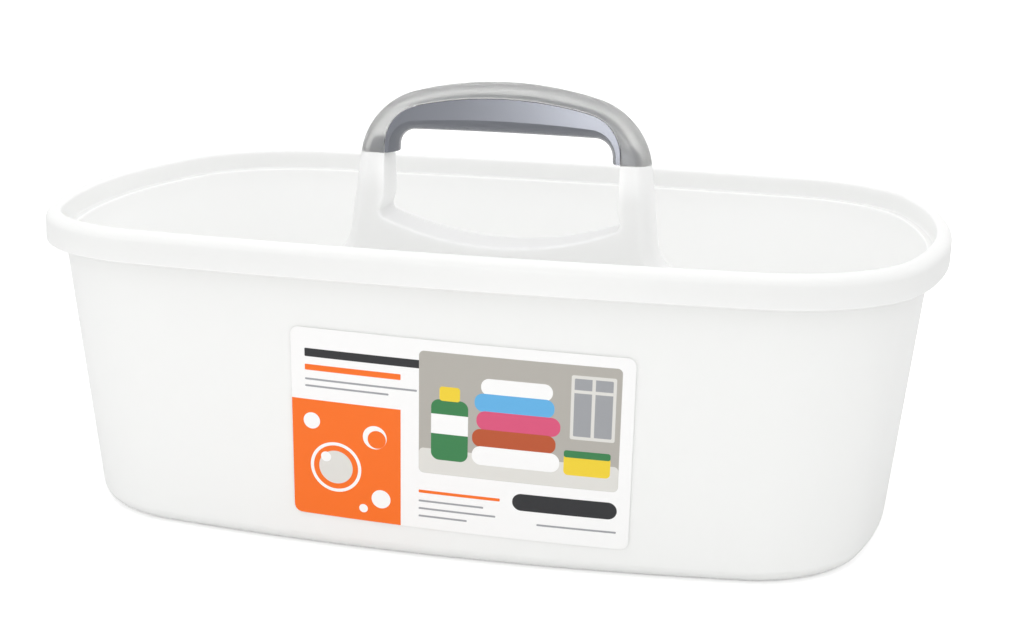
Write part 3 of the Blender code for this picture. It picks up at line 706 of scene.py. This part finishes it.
grip = new_piece("hand_grip", grip_form)
softened = grip.modifiers.new("softened_edges", 'BEVEL')
softened.width = 0.0003
softened.segments = 2
softened.limit_method = 'ANGLE'
softened.angle_limit = math.radians(30)
make_final(grip)
grip_plastic, grip_shader = plastic("grey_grip", (0.180, 0.188, 0.215), (0.155, 0.162, 0.186),
                                    roughness=0.24, grain=1100.0, bump=0.00002)
grip_shader.inputs["Metallic"].default_value = 0.45
grip.data.materials.append(grip_plastic)
grip.data.shade_smooth()
grip.data.set_sharp_from_angle(angle=math.radians(30))
weigh_normals(grip)
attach(grip, "root")
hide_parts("grip")


# ---- Label ---------------------------------------------------------------------------------
# Coated paper label with rounded corners, stuck slightly askew on the front wall, whose bow and
# taper it follows. The print is plain shapes: bubbles on a block, towels on a shelf and rules.
LABEL_WIDTH = 0.166
LABEL_HEIGHT = 0.097
LABEL_CENTRE = (0.0112, 0.0652)    # along X and Z
LABEL_TILT = -1.1            # degrees; the right end is low
LABEL_CORNER_RADIUS = 0.004
LABEL_THICKNESS = 0.00025
LABEL_COLUMNS, LABEL_ROWS = 101, 61
SMALLEST_LENGTH = 1e-7       # keeps a division away from zero
PRINT_BLUR = 0.06            # millimetres on each side of a printed edge
PAPER_ROUGHNESS = (0.30, 0.42)


def label_tree():
    """Rounds a flat sheet's corners, turns it, lays it on the wall and keeps its print map."""
    tree = bpy.data.node_groups.new("laid_label", 'GeometryNodeTree')
    for name, kind in (("Wall", 'NodeSocketObject'), ("Width", 'NodeSocketFloat'),
                       ("Height", 'NodeSocketFloat'), ("Corner radius", 'NodeSocketFloat'),
                       ("Centre", 'NodeSocketVector'), ("Tilt", 'NodeSocketFloat'),
                       ("Gap", 'NodeSocketFloat'), ("Material", 'NodeSocketMaterial')):
        tree.interface.new_socket(name, in_out='INPUT', socket_type=kind)
    tree.interface.new_socket("Geometry", in_out='OUTPUT', socket_type='NodeSocketGeometry')
    given = add_node(tree, 'NodeGroupInput').outputs

    def maths(operation, a, b):
        return add_node(tree, 'ShaderNodeMath', [(0, a), (1, b)], operation=operation).outputs[0]

    def vectors(operation, *values):
        return add_node(tree, 'ShaderNodeVectorMath', list(enumerate(values)),
                        operation=operation)

    sheet = add_node(tree, 'GeometryNodeMeshGrid',
                     [("Size X", given["Width"]), ("Size Y", given["Height"]),
                      ("Vertices X", LABEL_COLUMNS), ("Vertices Y", LABEL_ROWS)]).outputs["Mesh"]
    flat = add_node(tree, 'GeometryNodeInputPosition').outputs[0]
    size = add_node(tree, 'ShaderNodeCombineXYZ', [(0, given["Width"]), (1, given["Height"])])
    half = vectors('SCALE', size.outputs[0]).outputs[0]
    half.node.inputs["Scale"].default_value = 0.5
    radius = add_node(tree, 'ShaderNodeCombineXYZ',
                      [(0, given["Corner radius"]), (1, given["Corner radius"])]).outputs[0]
    straight = vectors('SUBTRACT', half, radius).outputs[0]
    inner = vectors('MINIMUM', vectors('ABSOLUTE', flat).outputs[0], straight).outputs[0]
    past = vectors('SUBTRACT', vectors('ABSOLUTE', flat).outputs[0], inner).outputs[0]
    parts = add_node(tree, 'ShaderNodeSeparateXYZ', [(0, past)]).outputs
    longest = maths('MAXIMUM', parts["X"], parts["Y"])
    length = maths('MAXIMUM', vectors('LENGTH', past).outputs["Value"], SMALLEST_LENGTH)
    round_past = vectors('SCALE', past).outputs[0]
    tree.links.new(maths('DIVIDE', longest, length), round_past.node.inputs["Scale"])
    rounded = vectors('MULTIPLY', vectors('ADD', inner, round_past).outputs[0],
                      vectors('SIGN', flat).outputs[0]).outputs[0]
    shaped = add_node(tree, 'GeometryNodeSetPosition',
                      [("Geometry", sheet), ("Position", rounded)])
    mapped = add_node(tree, 'GeometryNodeStoreNamedAttribute',
                      [("Geometry", shaped.outputs[0]), ("Name", "print"), ("Value", flat)],
                      data_type='FLOAT_VECTOR', domain='POINT')
    turned = add_node(tree, 'ShaderNodeVectorRotate', [("Vector", flat), ("Angle", given["Tilt"])],
                      rotation_type='Z_AXIS').outputs[0]
    on_sheet = add_node(tree, 'ShaderNodeSeparateXYZ', [(0, turned)]).outputs
    upright = add_node(tree, 'ShaderNodeCombineXYZ', [(0, on_sheet["X"]), (2, on_sheet["Y"])])
    before_wall = vectors('ADD', upright.outputs[0], given["Centre"]).outputs[0]
    wall = add_node(tree, 'GeometryNodeObjectInfo', [(0, given["Wall"])]).outputs["Geometry"]
    hit = add_node(tree, 'GeometryNodeRaycast',
                   [("Target Geometry", wall), ("Source Position", before_wall),
                    ("Ray Direction", (0.0, 1.0, 0.0))])
    lift = vectors('SCALE', hit.outputs["Hit Normal"]).outputs[0]
    tree.links.new(given["Gap"], lift.node.inputs["Scale"])
    laid = add_node(tree, 'GeometryNodeSetPosition',
                    [("Geometry", mapped.outputs[0]),
                     ("Position", vectors('ADD', hit.outputs["Hit Position"], lift).outputs[0])])
    real = add_node(tree, 'GeometryNodeRealizeInstances', [(0, laid.outputs[0])])
    printed = add_node(tree, 'GeometryNodeSetMaterial',
                       [("Geometry", real.outputs[0]), ("Material", given["Material"])])
    add_node(tree, 'NodeGroupOutput', [(0, printed.outputs[0])])
    return tree


def printed_patch():
    """Node group: mask of a patch with rounded corners, a circle if they take its half size."""
    group = bpy.data.node_groups.new("printed_patch", 'ShaderNodeTree')
    for name, kind in (("Place", 'NodeSocketVector'), ("Centre", 'NodeSocketVector'),
                       ("Half size", 'NodeSocketVector'), ("Corner radius", 'NodeSocketFloat')):
        group.interface.new_socket(name, in_out='INPUT', socket_type=kind)
    group.interface.new_socket("Mask", in_out='OUTPUT', socket_type='NodeSocketFloat')
    given = add_node(group, 'NodeGroupInput').outputs

    def vectors(operation, *values):
        return add_node(group, 'ShaderNodeVectorMath', list(enumerate(values)),
                        operation=operation).outputs

    round_by = add_node(group, 'ShaderNodeCombineXYZ',
                        [(0, given["Corner radius"]), (1, given["Corner radius"])]).outputs[0]
    core = vectors('SUBTRACT', given["Half size"], round_by)[0]
    away = vectors('SUBTRACT', given["Place"], given["Centre"])[0]
    past = vectors('SUBTRACT', vectors('ABSOLUTE', away)[0], core)[0]
    outside = vectors('LENGTH', vectors('MAXIMUM', past, (0.0, 0.0, 0.0))[0])["Value"]
    mask = add_node(group, 'ShaderNodeMapRange',
                    [("Value", add_node(group, 'ShaderNodeMath',
                                        [(0, outside), (1, given["Corner radius"])],
                                        operation='SUBTRACT').outputs[0]),
                     ("From Min", -PRINT_BLUR), ("From Max", PRINT_BLUR),
                     ("To Min", 1.0), ("To Max", 0.0)])
    add_node(group, 'NodeGroupOutput', [("Mask", mask.outputs[0])])
    return group


def label_material():
    """Coated white paper with the print; places and sizes on the sheet are in millimetres."""
    material = bpy.data.materials.new("label_paper")
    material.use_nodes = True
    tree = material.node_tree
    shader = tree.nodes["Principled BSDF"]
    place = add_node(tree, 'ShaderNodeAttribute', attribute_name="print").outputs["Vector"]
    in_mm = add_node(tree, 'ShaderNodeVectorMath', [(0, place)], operation='SCALE')
    in_mm.inputs["Scale"].default_value = 1000.0
    patch_group = printed_patch()
    white, orange, charcoal = (0.98, 0.98, 0.975), (0.97, 0.165, 0.003), (0.020, 0.021, 0.024)
    sky, leaf, sun = (0.12, 0.45, 0.80), (0.035, 0.22, 0.07), (0.90, 0.66, 0.03)
    rose, stone, pale = (0.72, 0.085, 0.20), (0.46, 0.44, 0.40), (0.76, 0.75, 0.71)
    grey, brick = (0.35, 0.36, 0.38), (0.50, 0.085, 0.02)
    # Centre, half size, corner radius and ink of each patch; later ones cover earlier ones.
    patches = [(-58, -19, 30, 31, 0.1, orange), (-61, -22, 13, 13, 13, white),
               (-61, -22, 11.4, 11.4, 11.4, orange), (-61, -22, 8.6, 8.6, 8.6, pale),
               (-66, -17, 2.6, 2.6, 2.6, white), (-41, -4, 6, 6, 6, white),
               (-40, -5, 4.6, 4.6, 4.6, orange), (-73, 1, 4.2, 4.2, 4.2, white),
               (-38, -36, 4.8, 4.8, 4.8, white), (-47, -42, 2.2, 2.2, 2.2, white),
               (-45, 36, 31, 2.1, 0.5, charcoal), (-52, 28.5, 24, 1.5, 0.5, orange),
               (-48, 22.5, 28, 0.5, 0.4, grey), (-55, 19, 21, 0.5, 0.4, grey),
               (29, 12, 48, 31, 2.5, stone), (29, -12.5, 47.9, 6.4, 2.3, pale),
               (64, 22, 10.5, 16, 1, pale), (64, 22, 9, 14.4, 0.6, grey),
               (64, 30, 9, 0.8, 0.1, pale), (64, 22, 0.8, 14.4, 0.1, pale),
               (-4, 4, 9, 15.5, 4, leaf), (-4, 7, 9, 5, 0.2, white),
               (-4, 22.5, 5, 3.6, 1.5, sun), (28, 28, 17, 4.2, 4, white),
               (27, 20, 19, 4.6, 4.2, sky), (29, 11, 20, 4.8, 4.4, rose),
               (27, 2, 20, 4.6, 4.2, brick), (28, -7, 21, 4.8, 4.4, white),
               (62, -7, 11, 5.4, 2.2, sun), (62, -1.6, 11, 1.8, 1.2, leaf),
               (52, -29, 25, 4.4, 4.4, charcoal), (1, -29, 20, 0.8, 0.4, orange),
               (-3, -34, 16, 0.5, 0.4, grey), (0, -38, 19, 0.5, 0.4, grey),
               (-7, -42, 12, 0.5, 0.4, grey), (58, -40, 19, 0.5, 0.4, grey)]
    colour = white
    for x, z, half_x, half_z, corner, ink in patches:
        patch = add_node(tree, 'ShaderNodeGroup', node_tree=patch_group)
        tree.links.new(in_mm.outputs[0], patch.inputs["Place"])
        patch.inputs["Centre"].default_value = (x, z, 0.0)
        patch.inputs["Half size"].default_value = (half_x, half_z, 0.0)
        patch.inputs["Corner radius"].default_value = corner
        colour = blended(tree, patch.outputs["Mask"], colour, ink)
    fibre = add_node(tree, 'ShaderNodeTexNoise',
                     [("Vector", in_mm.outputs[0]), ("Scale", 1.6), ("Detail", 6.0)])
    tree.links.new(colour, shader.inputs["Base Color"])
    tree.links.new(span(tree, fibre.outputs[0], *PAPER_ROUGHNESS), shader.inputs["Roughness"])
    relief = add_node(tree, 'ShaderNodeBump',
                      [("Height", fibre.outputs[0]), ("Distance", 0.00002)])
    tree.links.new(relief.outputs[0], shader.inputs["Normal"])
    return material


label = show(bpy.data.objects.new("printed_label", bpy.data.meshes.new("printed_label")))
add_geometry_nodes(label, label_tree(), {
    "Wall": tub, "Width": LABEL_WIDTH, "Height": LABEL_HEIGHT,
    "Corner radius": LABEL_CORNER_RADIUS,
    "Centre": Vector((LABEL_CENTRE[0], -RIM_WIDTH, LABEL_CENTRE[1])),
    "Tilt": math.radians(LABEL_TILT), "Gap": FIT_GAP, "Material": label_material()})
paper = label.modifiers.new("paper", 'SOLIDIFY')
paper.thickness = LABEL_THICKNESS
paper.offset = 1.0
make_final(label)
label.data.shade_smooth()
label.data.set_sharp_from_angle(angle=math.radians(30))
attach(label, "root")
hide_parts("label")


# ---- Studio --------------------------------------------------------------------------------
# Pale floor and white surroundings, lit by one soft lamp overhead and a small low one in front
# whose reflection runs along the grip.
FLOOR_SHADE = 0.74
FLOOR_GLOW = 0.46            # seen by the camera only
ROOM_LIGHT = 0.98            # what falls on matt surfaces; directly seen, the room is 1
bpy.ops.mesh.primitive_plane_add(size=24)
floor = bpy.context.object
floor.name = "studio_floor"
floor_paint = bpy.data.materials.new("studio_floor")
floor_paint.use_nodes = True
floor_shader = floor_paint.node_tree.nodes["Principled BSDF"]
floor_shader.inputs["Base Color"].default_value = (FLOOR_SHADE, FLOOR_SHADE, FLOOR_SHADE, 1.0)
floor_shader.inputs["Roughness"].default_value = 0.7
floor_shader.inputs["Emission Color"].default_value = (1.0, 1.0, 1.0, 1.0)
seen = add_node(floor_paint.node_tree, 'ShaderNodeLightPath').outputs["Is Camera Ray"]
floor_paint.node_tree.links.new(span(floor_paint.node_tree, seen, 0.0, FLOOR_GLOW),
                                floor_shader.inputs["Emission Strength"])
floor.data.materials.append(floor_paint)

world = bpy.data.worlds.new("studio")
bpy.context.scene.world = world
world.use_nodes = True
sky_tree = world.node_tree
background = sky_tree.nodes["Background"]
path = add_node(sky_tree, 'ShaderNodeLightPath').outputs
direct = add_node(sky_tree, 'ShaderNodeMath',
                  [(0, path["Is Camera Ray"]), (1, path["Is Glossy Ray"])], operation='MAXIMUM')
clear = add_node(sky_tree, 'ShaderNodeMath',
                 [(0, direct.outputs[0]), (1, path["Is Transmission Ray"])], operation='MAXIMUM')
background.inputs["Color"].default_value = (1.0, 1.0, 1.0, 1.0)
sky_tree.links.new(span(sky_tree, clear.outputs[0], ROOM_LIGHT, 1.0),
                   background.inputs["Strength"])


def soft_lamp(name, place, aim, size, power):
    lamp = bpy.data.lights.new(name, 'AREA')
    lamp.shape = 'RECTANGLE'
    lamp.size, lamp.size_y = size
    lamp.energy = power
    holder = bpy.data.objects.new(name, lamp)
    holder.location = place
    holder.rotation_euler = (Vector(aim) - Vector(place)).to_track_quat('-Z', 'Y').to_euler()
    bpy.context.scene.collection.objects.link(holder)


soft_lamp("overhead", place=(0.0, 0.0, 1.6), aim=(0.0, 0.0, 0.1), size=(2.0, 2.0), power=5.0)
soft_lamp("low_front", place=(-0.151, -1.6, 0.06), aim=(0.0, 0.0, 0.15), size=(0.2, 0.1),
          power=2.4)


# ---- Camera --------------------------------------------------------------------------------
# Long lens a little above the rim, turned to the right of the front and rolled slightly.
CAMERA_PLACE = (0.19418, -0.86307, 0.3103)
LIGHT_BOUNCES = 24           # light crosses the pale tub many times
yaw, pitch, roll = math.radians(12.54), math.radians(14.012), math.radians(1.329)
back = Vector((math.sin(yaw) * math.cos(pitch), -math.cos(yaw) * math.cos(pitch), math.sin(pitch)))
level = Vector((math.cos(yaw), math.sin(yaw), 0.0))
upwards = back.cross(level)
right = level * math.cos(roll) + upwards * math.sin(roll)
camera_up = upwards * math.cos(roll) - level * math.sin(roll)
lens = bpy.data.cameras.new("camera")
lens.sensor_width = 36.0
lens.lens = 59.08
camera = bpy.data.objects.new("camera", lens)
turn = Matrix((right, camera_up, back)).transposed()
camera.matrix_world = Matrix.Translation(CAMERA_PLACE) @ turn.to_4x4()
bpy.context.scene.collection.objects.link(camera)
bpy.context.scene.camera = camera
bpy.context.scene.view_settings.view_transform = 'Standard'
for kind in ("max", "diffuse", "glossy", "transmission"):
    setattr(bpy.context.scene.cycles, f"{kind}_bounces", LIGHT_BOUNCES)

bpy.context.view_layer.update()
